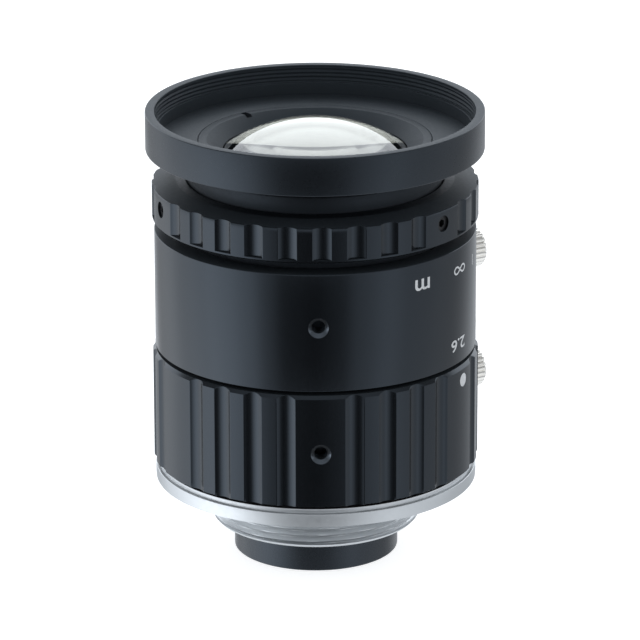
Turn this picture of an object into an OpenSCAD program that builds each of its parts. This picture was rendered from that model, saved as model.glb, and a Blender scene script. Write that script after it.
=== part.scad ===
// Machine vision lens with a C-mount: manual focus ring, manual aperture ring,
// two knurled lock screws and a six-blade iris.
// Units are millimetres. Z is the optical axis: z = 0 is the flange face that
// seats on the camera, and +Z looks out of the front. The front of the
// engraved side is -Y. An azimuth is counted from -Y towards +X.

/* [Camera mount] */
// Outer radius of the 1-32 camera thread
thread_r = 12.7; // [12:0.05:13.6]
// Length of the camera thread below the flange face
thread_len = 4.85; // [4:0.1:5.6]
// How far the silver flange stands proud of the barrel
flange_proud = 0.1; // [0:0.05:0.6]
// Thickness of the silver flange
flange_h = 2.15; // [1.9:0.05:2.6]
// Height of the narrower step above the flange
flange_step_h = 0.7; // [0.5:0.05:0.9]
// Outer radius of the black rear barrel
rear_r = 10.05; // [9:0.05:11]
// Length of the rear barrel below the flange face
rear_len = 8.86; // [8:0.1:10]

/* [Main barrel] */
// Outer radius of the main barrel, which the rings and the hood follow
barrel_r = 19.55; // [18.5:0.05:22]
// Height of the main barrel between the two rings
barrel_h = 14.59; // [13:0.1:17]
// Wall of the main barrel
barrel_wall = 2.65; // [2.3:0.05:3]
// Groove between the aperture ring and the barrel
barrel_groove = 0.5; // [0.3:0.05:0.7]
// Depth of the seat that the aperture ring turns on, below the barrel's surface
seat_depth = 1.95; // [1.7:0.05:2.2]
// Wall of that seat round the iris
seat_wall = 1.7; // [1.4:0.05:1.9]
// Height of the lock screw above the lower edge of the barrel
focus_lock_up = 8; // [6.5:0.1:9.5]

/* [Aperture ring] */
// How far the aperture ring stands proud of the barrel
ap_ring_proud = 0.3; // [0.1:0.05:0.8]
// Height of the aperture ring
ap_ring_h = 14.02; // [13:0.1:16]
// Size of the chamfer on its top edge
ap_chamfer = 0.38; // [0.2:0.02:0.6]
// Height of the lock screw above the lower edge of the ring
ap_lock_up = 6.74; // [5:0.1:8]
// Angle that the aperture ring turns from open to closed
ap_turn = 48; // [40:1:50]

/* [Focus ring] */
// How far the focus ring stands proud of the barrel
focus_ring_proud = 0.23; // [0.1:0.05:0.8]
// Height of the ring's cylindrical band
focus_ring_h = 4.26; // [3.8:0.05:5.2]
// Rise of the conical shoulder above the band
shoulder_rise = 0.57; // [0.4:0.05:0.8]
// Gap between the barrel and the focus ring as pictured
focus_gap = 1.5; // [1.4:0.05:2]
// Wall of the helicoid sleeve
sleeve_wall = 0.95; // [0.8:0.05:1.1]
// Small chamfer below the band
focus_chamfer = 0.15; // [0.05:0.05:0.3]

/* [Grip flutes] */
// Radius of the round cutter of a flute
flute_cut_r = 1.94; // [1.7:0.05:2.2]
// Depth of a flute
flute_depth = 0.4; // [0.3:0.02:0.5]
// Angle between neighbouring flutes
flute_pitch = 12; // [12:12:12]

/* [Hood] */
// How far the hood's rim stands proud of the barrel
hood_flare = 0.95; // [0.6:0.05:2]
// Height of the hood's cylindrical rim
hood_h = 4.69; // [4.2:0.1:5.6]
// How far the neck lies inside the helicoid sleeve's outer radius
neck_in = 1.35; // [1.2:0.05:1.6]
// Wall of the neck
neck_wall = 1.35; // [1.1:0.05:1.6]
// Height from the focus ring's shoulder to the hood's lower edge
neck_h = 3.63; // [3.2:0.1:4.2]
// Wall of the rim at the filter thread
rim_wall = 1.14; // [1:0.02:1.4]
// Length of the filter thread
filter_len = 2.14; // [1.8:0.1:2.6]
// Depth of the bowl from the rim to its floor
bowl_depth = 3.69; // [3.4:0.05:4.1]

/* [Front cell] */
// Width of the flat face of the front retaining ring
retainer_land = 1.05; // [0.8:0.05:1.3]
// Width of its cone
cone_w = 1.9; // [1.6:0.05:2.2]
// Width of the spanner slots
spanner_slot_w = 0.8; // [0.6:0.05:1.2]
// How far the ring laps over the edge of the front lens
lens_lap = 0.6; // [0.4:0.05:0.8]
// Radius of curvature of the front glass surface
front_curve_r = 19.1; // [17:0.1:24]
// Height of the retaining ring that presses on the front lens
retainer_h = 1.47; // [1.2:0.05:1.7]

/* [Iris] */
// Height of the free space between the iris seat and the barrel's lower edge
iris_room = 7.05; // [6.8:0.05:7.5]
// Width of an iris blade
blade_w = 4.5; // [4.3:0.05:5]
// Thickness of an iris blade
blade_t = 0.12; // [0.08:0.01:0.14]
// Height from one blade layer to the next
blade_pitch = 0.17; // [0.16:0.005:0.19]
// Angle that a blade swings from open to closed
blade_turn = 28; // [24:1:30]
// Radius of the studs of a blade
stud_r = 0.42; // [0.35:0.01:0.45]

/* [Lock screws] */
// Radius of the knurled head
knob_r = 2.52; // [2.3:0.05:2.9]
// Length of the knurled head
knob_len = 3.6; // [3:0.1:4.2]
// Number of knurl grooves round the head
knurl_count = 24; // [16:2:28]
// Radius of the screw shank
screw_r = 1; // [0.9:0.02:1.1]
// Bore radius of an empty tapped hole
tap_r = 0.8; // [0.7:0.02:0.9]
// Mouth radius of the countersink of a tapped hole
sink_r = 1.25; // [1.2:0.05:1.5]

/* [Fits] */
// Radial clearance between parts that turn or slide
run_gap = 0.05; // [0.03:0.005:0.06]
// Axial clearance at the faces of the aperture ring
face_gap = 0.28; // [0.2:0.02:0.35]
// Axial clearance on each side of the captive collar
collar_gap = 0.1; // [0.06:0.01:0.12]
// Clearance where glass meets its metal seat
seat_gap = 0.01; // [0.005:0.005:0.02]

/* [Hidden] */
$fn = 96;
eps = 0.02;

// Azimuths of the engraved side
ap_hole_az = 1.8;
barrel_hole_az = 1.07;
land_az = 1.7;
focus_flute_az = 2.4;
focus_screw_az = 50.4;
drive_az = 200;
key_az = 240;
slot_az = 39;

// Outer radii
flange_r = barrel_r + flange_proud;
ap_ring_r = barrel_r + ap_ring_proud;
focus_ring_r = barrel_r + focus_ring_proud;
hood_r = barrel_r + hood_flare;
filter_r = hood_r - rim_wall;

// Stack of heights along the axis
step_top_z = flange_h + flange_step_h;
ap_z0 = step_top_z + face_gap;
ap_z1 = ap_z0 + ap_ring_h;
ap_lock_z = ap_z0 + ap_lock_up;
barrel_z0 = ap_z1 + barrel_groove;
barrel_z1 = barrel_z0 + barrel_h;
focus_lock_z = barrel_z0 + focus_lock_up;
focus_z0 = barrel_z1 + focus_gap;
focus_z1 = focus_z0 + focus_ring_h;
shoulder_z = focus_z1 + shoulder_rise;
hood_z0 = shoulder_z + neck_h;
hood_z1 = hood_z0 + hood_h;
floor_z = hood_z1 - bowl_depth;

// Barrel and focus train
bore_r = barrel_r - barrel_wall;
seat_sleeve_r = barrel_r - seat_depth;
iris_bore_r = seat_sleeve_r - seat_wall;
sleeve_r = bore_r - run_gap;
sleeve_in_r = sleeve_r - sleeve_wall;
carrier_r = sleeve_in_r - run_gap;
skirt_wall = 1.25;
skirt_r = carrier_r - skirt_wall;
neck_r = sleeve_r - neck_in;
lip_room = 0.25;
lip_drop = 0.3;
lip_r = neck_r + lip_room;
lip_z = focus_z1 - lip_drop;
collar_z1 = lip_z - collar_gap;
collar_t = 0.5;
collar_z0 = collar_z1 - collar_t;
sleeve_z1 = collar_z0 - collar_gap;
collar_in = 0.35;
collar_r = sleeve_r - collar_in;
step_drop = 0.65;
step_z = barrel_z0 - step_drop;
key_w = 2;
key_depth = 1.3;
key_up = 0.75;
key_h = 1.8;
sleeve_up = 1.8;
skirt_up = 0.55;
key_z0 = barrel_z0 + key_up;
key_z1 = key_z0 + key_h;
sleeve_z0 = key_z1 + sleeve_up;
skirt_z0 = barrel_z0 + skirt_up;
set_screw_up = 0.5;
set_screw_z = (focus_z0 + focus_z1) / 2 + set_screw_up;
set_screw_bite = 0.3;
socket_r = 0.52;

// Camera side
boss_wall = 1.4;
boss_len = 3.55;
shelf_w = 2.8;
thread_boss_r = seat_sleeve_r - boss_wall;
boss_z = step_top_z + boss_len;
shelf_r = thread_boss_r - shelf_w;
rear_chamfer = 0.2;
thread_chamfer = 0.35;

// Front cell
cell_thread_r = neck_r - neck_wall;
retainer_edge_r = cell_thread_r - retainer_land;
retainer_bore_r = retainer_edge_r - cone_w;
front_lens_r = retainer_bore_r + lens_lap;
cell_fit = 0.05;
ring_lap = 0.6;
lens_fit = 0.02;
lens_2_in = 1.45;
lens_3_in = 3.2;
tube_wall = 2.4;
air_12 = 0.84;
air_23 = 3.4;
third_ring_w = 1;
tube_tail = 2.9;
retainer_z0 = floor_z - retainer_h;
apex_1 = retainer_z0 + sag(front_curve_r, retainer_bore_r) - lens_fit;
curve_1b = 45;
thick_1 = 5.6;
curve_2a = 24;
curve_2b = 60;
thick_2 = 3;
lens_2_r = front_lens_r - lens_2_in;
spacer_in_r = lens_2_r - ring_lap;
front_seat_z = apex_1 - thick_1 - sag(curve_1b, front_lens_r);
apex_2 = apex_1 - thick_1 - air_12;
seat_2_z = apex_2 - thick_2 - sag(curve_2b, lens_2_r);
cell_top_room = 0.08;
cell_top_z = retainer_z0 - cell_top_room;
lens_3_r = front_lens_r - lens_3_in;
tube_r = lens_3_r + tube_wall;
curve_3a = 32;
curve_3b = 16;
thick_3 = 1.4;
third_ring_r = lens_3_r + ring_lap;
third_ring_in_r = lens_3_r - third_ring_w;
third_ring_h = 1.6;
seat_3_z = seat_2_z - air_23;
apex_3 = seat_3_z - sag(curve_3a, lens_3_r) - seat_gap;
rim_3_z = apex_3 - thick_3 - sag(curve_3b, lens_3_r);
tube_z0 = rim_3_z - third_ring_h - tube_tail;

// Iris
pivot_in = 3;
blade_in = 1;
ear_w = 1.05;
stud_step = 0.3;
iris_z = barrel_z0 - iris_room;
pivot_r = iris_bore_r - pivot_in;
blade_out_r = pivot_r - blade_in;
stop_r = blade_out_r - blade_w;
ear_r = pivot_r + ear_w;
drive_stud_r = pivot_r + stud_step;
drive_stud_az = 20;
blade_end_az = 126;
ear_az = 3.5;
base_t = 0.8;
base_play = 0.1;
drive_play = 0.08;
blade_z0 = iris_z + base_t + base_play;
drive_z0 = blade_z0 + 6 * blade_pitch + drive_play;
drive_plate_t = 0.7;
collar_h = 2;
drive_ring_in = 1.9;
drive_out_r = iris_bore_r - drive_play;
drive_in_r = stop_r + drive_ring_in;
pin_r = 0.55;
pin_inset = 0.8;
pin_slit = 0.2;
pin_room = 0.08;
pin_up = 1.3;
iris_ring_w = 3.9;
iris_ring_h = 1.5;
pin_z = drive_z0 + pin_up;
iris_ring_in_r = iris_bore_r - iris_ring_w;
iris_ring_z0 = drive_z0 + collar_h + base_play;
iris_ring_z1 = iris_ring_z0 + iris_ring_h;

// Rear cell
cell_drop = 0.2;
lens_4_in = 1.65;
lens_6_in = 2.05;
seat_5_w = 0.8;
doublet_ring_h = 1;
rear_group_z = 6.26;
cell_top = iris_z - cell_drop;
lens_4_r = rear_r - lens_4_in;
cell_bore_r = lens_4_r + cell_fit;
doublet_ring_r = lens_4_r + ring_lap;
doublet_ring_in_r = lens_4_r - ring_lap;
curve_4a = 13;
curve_45 = 30;
curve_5b = 17;
rim_4_z = cell_top - doublet_ring_h;
apex_4 = rim_4_z - sag(curve_4a, lens_4_r);
thick_4 = 1.2;
thick_5 = 4.6;
apex_45 = apex_4 - thick_4;
apex_5 = apex_45 - thick_5;
seat_5_r = lens_4_r - seat_5_w;
seat_5_z = apex_5 + sag(curve_5b, seat_5_r) - seat_gap;
lens_6_r = rear_r - lens_6_in;
rear_ring_in_r = lens_6_r - ring_lap;
rear_ring_h = 1.6;
curve_6a = 26;
curve_6b = 40;
apex_6 = rear_group_z - rear_len;
thick_6 = 3.6;
seat_6_z = apex_6 - sag(curve_6a, seat_5_r) + seat_gap;
rear_ring_z = apex_6 - thick_6 + sag(curve_6b, rear_ring_in_r) - eps;

// Spanner slots of the retaining rings inside
key_slot_w = 0.8;
key_slot_h = 0.7;

// Height of a spherical cap of curvature radius c at radius r
function sag(c, r) = c - sqrt(c * c - r * r);

// Point at azimuth a and radius r, seen from above
function at_az(a, r) = [r * sin(a), -r * cos(a)];

// Place of a blade's drive stud after the blade has swung by b
function stud_place(b) = let (p = at_az(0, pivot_r),
                              q = at_az(drive_stud_az, drive_stud_r) - p)
    p + [q[0] * cos(b) - q[1] * sin(b), q[0] * sin(b) + q[1] * cos(b)];

// The same place seen from the drive ring, t is 0 when open and 1 when closed
function cam_place(t) = let (s = stud_place(blade_turn * t), a = -ap_turn * t)
    [s[0] * cos(a) - s[1] * sin(a), s[0] * sin(a) + s[1] * cos(a)];

// Unit tangent of the cam path
function cam_tangent(t) = let (d = cam_place(t + 0.01) - cam_place(t - 0.01)) d / norm(d);

// Point beside the cam path, a turns from its left side over its tangent
function beside(t, a, w) = let (d = cam_tangent(t), n = [-d[1], d[0]])
    cam_place(t) + w * (n * cos(a) + d * sin(a));

// Ring with a rectangular section
module tube(r_out, r_in, z0, z1) {
    difference() {
        translate([0, 0, z0]) cylinder(r = r_out, h = z1 - z0);
        translate([0, 0, z0 - 1]) cylinder(r = r_in, h = z1 - z0 + 2);
    }
}

// Bore along the axis
module bore(r, z0, z1) {
    translate([0, 0, z0]) cylinder(r = r, h = z1 - z0);
}

// Sphere on the axis
module ball(z, r) {
    translate([0, 0, z]) sphere(r = r, $fn = 200);
}

// Two spanner slots across a ring, centred on the height of its face
module key_slots(r_in, r_out, z) {
    for (s = [0, 180])
        rotate([0, 0, s])
            translate([r_in - 1, -key_slot_w / 2, z - key_slot_h])
                cube([r_out - r_in + 2, key_slot_w, 2 * key_slot_h]);
}

// Turns a part that is drawn along +X to an azimuth and a height
module radial(a, z) {
    translate([0, 0, z]) rotate([0, 0, a - 90]) children();
}

// Sector between two azimuths, used to trim rings
module sector(a0, a1, r, z0, z1) {
    m = (a0 + a1) / 2;
    translate([0, 0, z0])
        linear_extrude(height = z1 - z0)
            polygon([[0, 0], at_az(a0, r), at_az((a0 + m) / 2, r * 1.1),
                     at_az(m, r * 1.2), at_az((a1 + m) / 2, r * 1.1), at_az(a1, r)]);
}

// Tapped hole along +X with a countersink at radius r_face
module tapped_hole(r_in, r_face, hole_r) {
    sink = sink_r - tap_r;
    translate([r_in, 0, 0]) rotate([0, 90, 0]) cylinder(r = hole_r, h = r_face - r_in + 1);
    translate([r_face - sink, 0, 0])
        rotate([0, 90, 0])
            cylinder(r1 = tap_r, r2 = sink_r + 1, h = sink + 1);
}

// Round cutter of one grip flute
module flute(a, r_face, z0, z1) {
    p = at_az(a, r_face + flute_cut_r - flute_depth);
    translate([p[0], p[1], z0]) cylinder(r = flute_cut_r, h = z1 - z0, $fn = 48);
}

// Knurled lock screw along +X, its shank starts at radius r_in
module lock_screw(r_in, r_head) {
    difference() {
        union() {
            translate([r_in, 0, 0])
                rotate([0, 90, 0])
                    cylinder(r = screw_r, h = r_head - r_in + 0.5, $fn = 48);
            translate([r_head, 0, 0])
                rotate([0, 90, 0])
                    rotate_extrude()
                        polygon([[0, 0], [knob_r - 0.25, 0], [knob_r, 0.25],
                                 [knob_r, knob_len - 0.25], [knob_r - 0.25, knob_len],
                                 [0, knob_len]]);
        }
        for (i = [0 : knurl_count - 1])
            translate([r_head - 0.5, 0, 0])
                rotate([i * 360 / knurl_count, 0, 0])
                    translate([0, knob_r + 0.05, 0])
                        rotate([0, 90, 0])
                            cylinder(r = 0.2, h = knob_len + 1, $fn = 16);
    }
}

// Black tube behind the mount, it holds the three rear lenses
module rear_barrel() {
    color("#1c1e22")
    difference() {
        union() {
            rotate_extrude()
                polygon([[0, -rear_len], [rear_r - rear_chamfer, -rear_len],
                         [rear_r, -rear_len + rear_chamfer], [rear_r, boss_z + 0.4],
                         [0, boss_z + 0.4]]);
            bore(shelf_r - run_gap, boss_z + 0.2, cell_top);
        }
        bore(seat_5_r, seat_6_z - 1, seat_5_z + 1);
        bore(lens_6_r + cell_fit, -rear_len - 1, seat_6_z);
        bore(cell_bore_r, seat_5_z, cell_top + 1);
        bore(doublet_ring_r, rim_4_z, cell_top + 1);
    }
}

// Threaded ring behind the rearmost lens
module rear_retaining_ring() {
    color("#202226")
    difference() {
        tube(lens_6_r + cell_fit, rear_ring_in_r, rear_ring_z - rear_ring_h, rear_ring_z);
        key_slots(rear_ring_in_r, lens_6_r + cell_fit, rear_ring_z - rear_ring_h);
    }
}

// Rearmost lens, convex on both sides
module rear_lens() {
    color("#b9c7cc")
    intersection() {
        bore(lens_6_r, apex_6 - thick_6 - 1, apex_6 + 1);
        ball(apex_6 - curve_6a, curve_6a);
        ball(apex_6 - thick_6 + curve_6b, curve_6b);
    }
}

// Rear half of the cemented pair
module doublet_rear_lens() {
    color("#c3cfd0")
    intersection() {
        bore(lens_4_r, apex_5 - 1, apex_45 + 1);
        ball(apex_45 - curve_45, curve_45);
        ball(apex_5 + curve_5b, curve_5b);
    }
}

// Front half of the cemented pair, hollow towards the iris
module doublet_front_lens() {
    color("#b4c3c8")
    difference() {
        bore(lens_4_r, apex_45 - sag(curve_45, lens_4_r) - 0.5, rim_4_z);
        ball(apex_45 - curve_45, curve_45);
        ball(apex_4 + curve_4a, curve_4a);
    }
}

// Threaded ring in front of the cemented pair
module doublet_retaining_ring() {
    color("#202226")
    difference() {
        tube(doublet_ring_r, doublet_ring_in_r, rim_4_z + eps, cell_top);
        key_slots(doublet_ring_in_r, doublet_ring_r, cell_top);
    }
}

// Silver mount: camera thread, flange and the boss that carries the barrel
module mount_flange() {
    color("#c4c8ca")
    difference() {
        rotate_extrude()
            polygon([[0, -thread_len], [thread_r - thread_chamfer, -thread_len],
                     [thread_r, -thread_len + thread_chamfer + 0.05], [thread_r, 0],
                     [flange_r - 0.25, 0], [flange_r, 0.25],
                     [flange_r, flange_h - 0.15], [flange_r - 0.15, flange_h],
                     [flange_r - 0.45, flange_h], [flange_r - 0.45, step_top_z],
                     [thread_boss_r, step_top_z], [thread_boss_r, boss_z],
                     [0, boss_z]]);
        bore(rear_r + run_gap, -thread_len - 1, 1);
        bore(shelf_r + 0.2, 0.5, boss_z + 1);
    }
}

// Main barrel: visible band, sleeve for the aperture ring and inner shelf
module main_barrel() {
    color("#1d1f24")
    difference() {
        union() {
            bore(barrel_r, barrel_z0, barrel_z1);
            bore(seat_sleeve_r, step_top_z, barrel_z0 + 1);
        }
        bore(bore_r, step_z, barrel_z1 + 1);
        bore(iris_bore_r, iris_z, step_z + 1);
        bore(shelf_r, step_top_z - 1, iris_z + 1);
        bore(thread_boss_r, step_top_z - 1, boss_z);
        // Opening that the drive pin of the iris swings in
        intersection() {
            tube(seat_sleeve_r + 1, iris_bore_r - 1,
                 pin_z - pin_r - pin_room, pin_z + pin_r + pin_room);
            sector(drive_az - 3, drive_az + ap_turn + 3, 1.5 * seat_sleeve_r,
                   pin_z - pin_r - pin_room, pin_z + pin_r + pin_room);
        }
        // Pocket of the guide key
        radial(key_az, key_z0)
            translate([bore_r - 1, -key_w / 2, 0])
                cube([key_depth + 1, key_w, key_z1 - key_z0]);
        for (i = [0, 2])
            radial(barrel_hole_az + i * 120, focus_lock_z)
                tapped_hole(bore_r - 1, barrel_r, tap_r);
        radial(barrel_hole_az + 120, focus_lock_z)
            tapped_hole(bore_r - 1, barrel_r, screw_r + 0.03);
    }
}

// Aperture ring with grip flutes between three plain lands
module aperture_ring() {
    color("#1b1d21")
    difference() {
        rotate_extrude()
            polygon([[seat_sleeve_r + run_gap, ap_z0], [ap_ring_r - 0.1, ap_z0],
                     [ap_ring_r, ap_z0 + 0.1], [ap_ring_r, ap_z1 - ap_chamfer],
                     [ap_ring_r - ap_chamfer, ap_z1], [seat_sleeve_r + run_gap, ap_z1]]);
        for (k = [0 : 2 : 10], j = [1 : 4])
            flute(land_az + k * 30 + j * flute_pitch, ap_ring_r, ap_z0 - 1, ap_z1 + 1);
        for (i = [0, 2])
            radial(ap_hole_az + i * 120, ap_lock_z)
                tapped_hole(seat_sleeve_r - 1, ap_ring_r, tap_r);
        radial(ap_hole_az + 120, ap_lock_z)
            tapped_hole(seat_sleeve_r - 1, ap_ring_r, screw_r + 0.03);
        radial(drive_az, pin_z)
            translate([seat_sleeve_r - 1, 0, 0])
                rotate([0, 90, 0])
                    cylinder(r = pin_r, h = ap_ring_r - seat_sleeve_r + 2);
    }
}

// Headless pin that carries the turn of the ring to the iris
module aperture_drive_pin() {
    color("#8a8d90")
    radial(drive_az, pin_z)
        difference() {
            translate([drive_out_r - 1, 0, 0])
                rotate([0, 90, 0])
                    cylinder(r = pin_r, h = ap_ring_r - pin_inset - drive_out_r + 1);
            translate([ap_ring_r - pin_inset - 0.4, -pin_slit / 2, -2 * pin_r])
                cube([1, pin_slit, 4 * pin_r]);
        }
}

// Lock screw of the aperture ring
module aperture_lock_screw() {
    color("#b9bcbe")
    radial(ap_hole_az + 120, ap_lock_z)
        lock_screw(seat_sleeve_r + 2 * run_gap, ap_ring_r + 0.15);
}

// Fixed plate below the blades
module iris_base_plate() {
    color("#26282c")
    difference() {
        tube(iris_bore_r, stop_r, iris_z, iris_z + base_t);
        for (i = [0 : 5])
            translate([at_az(i * 60, pivot_r)[0], at_az(i * 60, pivot_r)[1], iris_z - 1])
                cylinder(r = stud_r + run_gap, h = base_t + 2, $fn = 32);
    }
}

// One blade in its open place, n counts the layers from below
module iris_blade(n) {
    z = blade_z0 + (n - 1) * blade_pitch;
    p = at_az(0, pivot_r);
    q = at_az(drive_stud_az, drive_stud_r);
    color("#2c2e31")
    rotate([0, 0, (n - 1) * 60])
        union() {
            intersection() {
                tube(blade_out_r, stop_r, z, z + blade_t);
                sector(-3, blade_end_az, 1.5 * ear_r, z - 1, z + 1);
            }
            intersection() {
                tube(ear_r, stop_r + 1, z, z + blade_t);
                sector(-ear_az, drive_stud_az + ear_az, 1.5 * ear_r, z - 1, z + 1);
            }
            translate([p[0], p[1], iris_z + 0.1])
                cylinder(r = stud_r, h = z - iris_z, $fn = 32);
            translate([q[0], q[1], z + blade_t / 2])
                cylinder(r = stud_r, h = drive_z0 + drive_plate_t - z - blade_t / 2, $fn = 32);
        }
}

module iris_blade_1() {
    iris_blade(1);
}

module iris_blade_2() {
    iris_blade(2);
}

module iris_blade_3() {
    iris_blade(3);
}

module iris_blade_4() {
    iris_blade(4);
}

module iris_blade_5() {
    iris_blade(5);
}

module iris_blade_6() {
    iris_blade(6);
}

// Slot that swings one blade evenly while the drive ring turns
module cam_slot() {
    w = stud_r + run_gap;
    n = 12;
    left_side = [for (i = [0 : n]) beside(i / n, 0, w)];
    far_end = [for (a = [22.5 : 22.5 : 157.5]) beside(1, a, w)];
    right_side = [for (i = [0 : n]) beside(1 - i / n, 180, w)];
    near_end = [for (a = [202.5 : 22.5 : 337.5]) beside(0, a, w)];
    translate([0, 0, drive_z0 - 1])
        linear_extrude(height = drive_plate_t + 2)
            polygon(concat(left_side, far_end, right_side, near_end));
}

// Ring above the blades with six cam slots and a collar for the drive pin
module iris_drive_ring() {
    color("#3a3c3f")
    difference() {
        union() {
            tube(drive_out_r, drive_in_r, drive_z0, drive_z0 + drive_plate_t);
            tube(drive_out_r, drive_stud_r + 1, drive_z0, drive_z0 + collar_h);
        }
        for (i = [0 : 5])
            rotate([0, 0, i * 60])
                cam_slot();
        radial(drive_az, pin_z)
            translate([drive_out_r - 1, 0, 0])
                rotate([0, 90, 0])
                    cylinder(r = pin_r, h = 2);
    }
}

// Threaded ring that keeps the iris in its seat
module iris_retaining_ring() {
    color("#202226")
    difference() {
        tube(iris_bore_r, iris_ring_in_r, iris_ring_z0, iris_ring_z1);
        key_slots(iris_ring_in_r + iris_ring_w / 2, iris_bore_r - 1, iris_ring_z1);
    }
}

// Key that keeps the lens carrier from turning
module guide_key() {
    color("#9a9da0")
    radial(key_az, key_z0)
        translate([skirt_r - 0.1, -key_w / 2, 0])
            cube([bore_r + key_depth - skirt_r + 0.1, key_w, key_z1 - key_z0]);
}

// Lock screw of the focus movement
module focus_lock_screw() {
    color("#b9bcbe")
    radial(barrel_hole_az + 120, focus_lock_z)
        lock_screw(bore_r + run_gap, barrel_r + 0.2);
}

// Helicoid sleeve below the focus ring
module focus_sleeve() {
    color("#222429")
    difference() {
        tube(sleeve_r, sleeve_in_r, sleeve_z0, sleeve_z1);
        for (i = [0 : 2])
            radial(focus_screw_az + i * 120, set_screw_z)
                translate([sleeve_r - set_screw_bite, 0, 0])
                    rotate([0, 90, 0])
                        cylinder(r = screw_r, h = 2, $fn = 48);
    }
}

// Focus ring with a conical shoulder, flutes and three plain lands
module focus_ring() {
    color("#1b1d21")
    difference() {
        rotate_extrude()
            polygon([[sleeve_r, focus_z0], [focus_ring_r - focus_chamfer, focus_z0],
                     [focus_ring_r, focus_z0 + focus_chamfer], [focus_ring_r, focus_z1],
                     [lip_r, shoulder_z], [lip_r, lip_z], [sleeve_r, lip_z]]);
        for (i = [0 : 29])
            if (i % 10 != 4)
                flute(focus_flute_az + i * flute_pitch, focus_ring_r,
                      focus_z0 + focus_chamfer + 0.2, shoulder_z + 1);
        for (i = [0 : 2])
            radial(focus_screw_az + i * 120, set_screw_z)
                translate([sleeve_r - 1, 0, 0])
                    rotate([0, 90, 0])
                        cylinder(r = screw_r, h = focus_ring_r - sleeve_r + 2, $fn = 48);
    }
}

// Three hex socket set screws that join ring and sleeve
module focus_set_screws() {
    color("#2e3034")
    for (i = [0 : 2])
        radial(focus_screw_az + i * 120, set_screw_z)
            difference() {
                translate([sleeve_r - set_screw_bite, 0, 0])
                    rotate([0, 90, 0])
                        cylinder(r = screw_r, h = focus_ring_r - sleeve_r, $fn = 48);
                translate([focus_ring_r - set_screw_bite - 1.1, 0, 0])
                    rotate([0, 90, 0])
                        cylinder(r = socket_r, h = 2, $fn = 6);
            }
}

// Carrier of the front lenses, it slides along the axis and never turns
module lens_carrier() {
    color("#1f2125")
    difference() {
        union() {
            bore(carrier_r, skirt_z0, collar_z0 + 0.2);
            bore(collar_r, collar_z0, collar_z1);
            bore(cell_thread_r, collar_z1 - 0.2, cell_top_z);
        }
        // Pocket between the lens tube and the outer skirt
        tube(skirt_r, tube_r, skirt_z0 - 1, seat_2_z - 1);
        bore(tube_r + 1, skirt_z0 - 1, tube_z0);
        bore(third_ring_r, tube_z0 - 1, rim_3_z - cell_fit);
        bore(lens_3_r + cell_fit, tube_z0, seat_3_z);
        bore(lens_3_r - ring_lap, tube_z0, seat_2_z);
        bore(lens_3_r + 0.8, seat_3_z + 1, seat_2_z + 1);
        bore(lens_2_r + cell_fit, seat_2_z, cell_top_z);
        bore(front_lens_r + cell_fit, front_seat_z, cell_top_z + 1);
        // Keyway
        radial(key_az, skirt_z0 - 1)
            translate([skirt_r - 1, -key_w / 2 - run_gap, 0])
                cube([carrier_r - skirt_r + 2, key_w + 2 * run_gap, sleeve_z0 - skirt_z0 + 0.8]);
    }
}

// Third lens, hollow on both sides
module third_lens() {
    color("#b4c3c8")
    difference() {
        bore(lens_3_r, rim_3_z, seat_3_z - seat_gap);
        ball(apex_3 + curve_3a, curve_3a);
        ball(apex_3 - thick_3 - curve_3b, curve_3b);
    }
}

// Threaded ring behind the third lens
module third_lens_ring() {
    color("#202226")
    difference() {
        tube(third_ring_r, third_ring_in_r,
             rim_3_z - cell_fit - third_ring_h, rim_3_z - cell_fit - eps);
        key_slots(third_ring_in_r, third_ring_r, rim_3_z - cell_fit - third_ring_h);
    }
}

// Second lens, a meniscus
module second_lens() {
    color("#c3cfd0")
    difference() {
        intersection() {
            bore(lens_2_r, seat_2_z + seat_gap, apex_2 + 1);
            ball(apex_2 - curve_2a, curve_2a);
        }
        ball(apex_2 - thick_2 - curve_2b, curve_2b);
    }
}

// Spacer between the first two lenses
module second_lens_spacer() {
    color("#1a1b1e")
    tube(lens_2_r + cell_fit - eps, spacer_in_r, apex_2 - sag(curve_2a, spacer_in_r) + eps,
         apex_1 - thick_1 - sag(curve_1b, lens_2_r + cell_fit - eps) - eps);
}

// Front lens, the domed glass seen in the hood
module front_lens() {
    color("#cfdadb")
    difference() {
        intersection() {
            bore(front_lens_r, front_seat_z + seat_gap, apex_1 + 1);
            ball(apex_1 - front_curve_r, front_curve_r);
        }
        ball(apex_1 - thick_1 - curve_1b, curve_1b);
    }
}

// Ring that holds the front lens, with two spanner slots
module front_retaining_ring() {
    color("#24272b")
    difference() {
        rotate_extrude()
            polygon([[retainer_bore_r, retainer_z0], [cell_thread_r, retainer_z0],
                     [cell_thread_r, floor_z], [retainer_edge_r, floor_z],
                     [retainer_bore_r, retainer_z0 + 0.15]]);
        for (s = [0, 180])
            radial(slot_az + s, floor_z - 0.8)
                translate([retainer_edge_r - 0.9, -spanner_slot_w / 2, 0])
                    cube([cell_thread_r - retainer_edge_r + 2, spanner_slot_w, 2]);
    }
}

// Hood: neck, flared underside, rim with the filter thread and bowl
module hood() {
    color("#25282c")
    rotate_extrude()
        polygon([[cell_thread_r, collar_z1], [neck_r, collar_z1],
                 [neck_r, hood_z0 - 1.45], [hood_r - 0.5, hood_z0 - 0.1],
                 [hood_r - 0.2, hood_z0 - 0.1], [hood_r, hood_z0 + 0.1],
                 [hood_r, hood_z1 - 0.15], [hood_r - 0.15, hood_z1],
                 [filter_r + 0.2, hood_z1], [filter_r, hood_z1 - 0.2],
                 [filter_r, hood_z1 - filter_len], [filter_r - 0.4, hood_z1 - filter_len],
                 [filter_r - 0.4, floor_z + 0.35], [filter_r - 0.75, floor_z],
                 [cell_thread_r, floor_z]]);
}

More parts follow.
